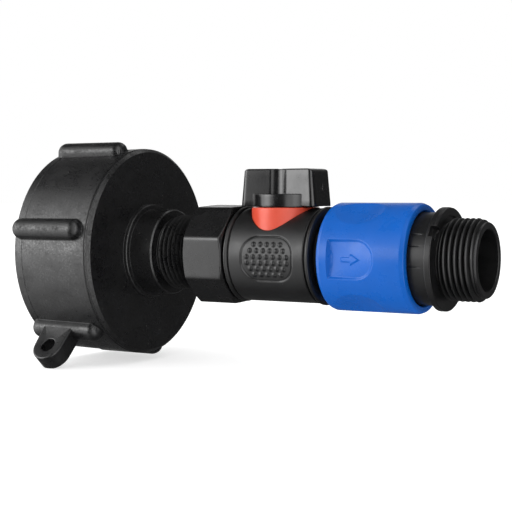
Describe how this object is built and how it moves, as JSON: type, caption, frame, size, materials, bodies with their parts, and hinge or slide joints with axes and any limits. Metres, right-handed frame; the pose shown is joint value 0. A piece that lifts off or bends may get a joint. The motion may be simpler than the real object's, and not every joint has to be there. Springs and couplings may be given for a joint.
{
  "type": "tank outlet adapter with ball valve and quick coupling",
  "caption": "Threaded tank cap with a swivel nut, a quarter-turn ball valve and a push-fit hose coupling with a threaded outlet.",
  "frame": {"origin": "centre of the open rim of the tank cap, on the pipe axis", "axes": "+X along the pipe from the tank to the hose side, +Z towards the valve handle"},
  "size_m": [0.1608, 0.0794, 0.0789],
  "materials": {
    "cap_plastic": "satin black moulded polypropylene",
    "gasket_rubber": "matt black rubber",
    "nut_plastic": "smooth black moulded plastic",
    "washer_rubber": "matt black rubber",
    "tail_plastic": "smooth dark plastic",
    "body_plastic": "satin black moulded plastic",
    "ball_plastic": "polished white plastic",
    "seat_plastic": "waxy white plastic",
    "stem_plastic": "smooth dark plastic",
    "seal_rubber": "greased black rubber",
    "red_plastic": "satin orange-red plastic",
    "handle_plastic": "polished black moulded plastic",
    "steel": "bright stainless steel",
    "nipple_plastic": "smooth black plastic",
    "coupler_plastic": "satin black moulded plastic",
    "claw_plastic": "smooth grey plastic",
    "blue_plastic": "satin blue moulded plastic"
  },
  "bodies": {
    "cap": {"tank_cap": "cap_plastic", "tank_gasket": "gasket_rubber"},
    "valve": {"valve_body": "body_plastic", "inlet_tail": "tail_plastic", "nut_washer": "washer_rubber", "seat_inlet": "seat_plastic", "seat_outlet": "seat_plastic", "stem_ring": "red_plastic", "outlet_nipple": "nipple_plastic", "nipple_seal": "seal_rubber"},
    "nut": {"swivel_nut": "nut_plastic"},
    "handle": {"valve_handle": "handle_plastic", "valve_stem": "stem_plastic", "valve_ball": "ball_plastic", "handle_screw": "steel", "stem_seal_lower": "seal_rubber", "stem_seal_upper": "seal_rubber"},
    "coupler": {"coupler_body": "coupler_plastic", "locking_claws": "claw_plastic", "sleeve_spring": "steel", "sleeve_stop_ring": "steel"},
    "sleeve": {"lock_sleeve": "blue_plastic"}
  },
  "joints": [
    {"name": "valve_slide", "type": "slide", "parent": "cap", "child": "valve", "axis": [1, 0, 0], "range_m": [0, 0.00907]},
    {"name": "nut_turn", "type": "hinge", "parent": "valve", "child": "nut", "pos_m": [0.0652, 0, 0], "axis": [1, 0, 0], "range_deg": [0, 1800]},
    {"name": "handle_turn", "type": "hinge", "parent": "valve", "child": "handle", "pos_m": [0.0889, 0, 0], "axis": [0, 0, 1], "range_deg": [0, 90]},
    {"name": "coupler_spin", "type": "hinge", "parent": "valve", "child": "coupler", "pos_m": [0.1183, 0, 0], "axis": [1, 0, 0], "continuous": true},
    {"name": "sleeve_slide", "type": "slide", "parent": "coupler", "child": "sleeve", "axis": [1, 0, 0], "range_m": [0, 0.0055], "stiffness_N_per_m": 900, "springref_m": -0.004, "deforming": ["sleeve_spring"]}
  ],
  "couplings": [
    {"joint": "nut_turn", "follows": "valve_slide", "rad_per_m": 3463.7}
  ]
}
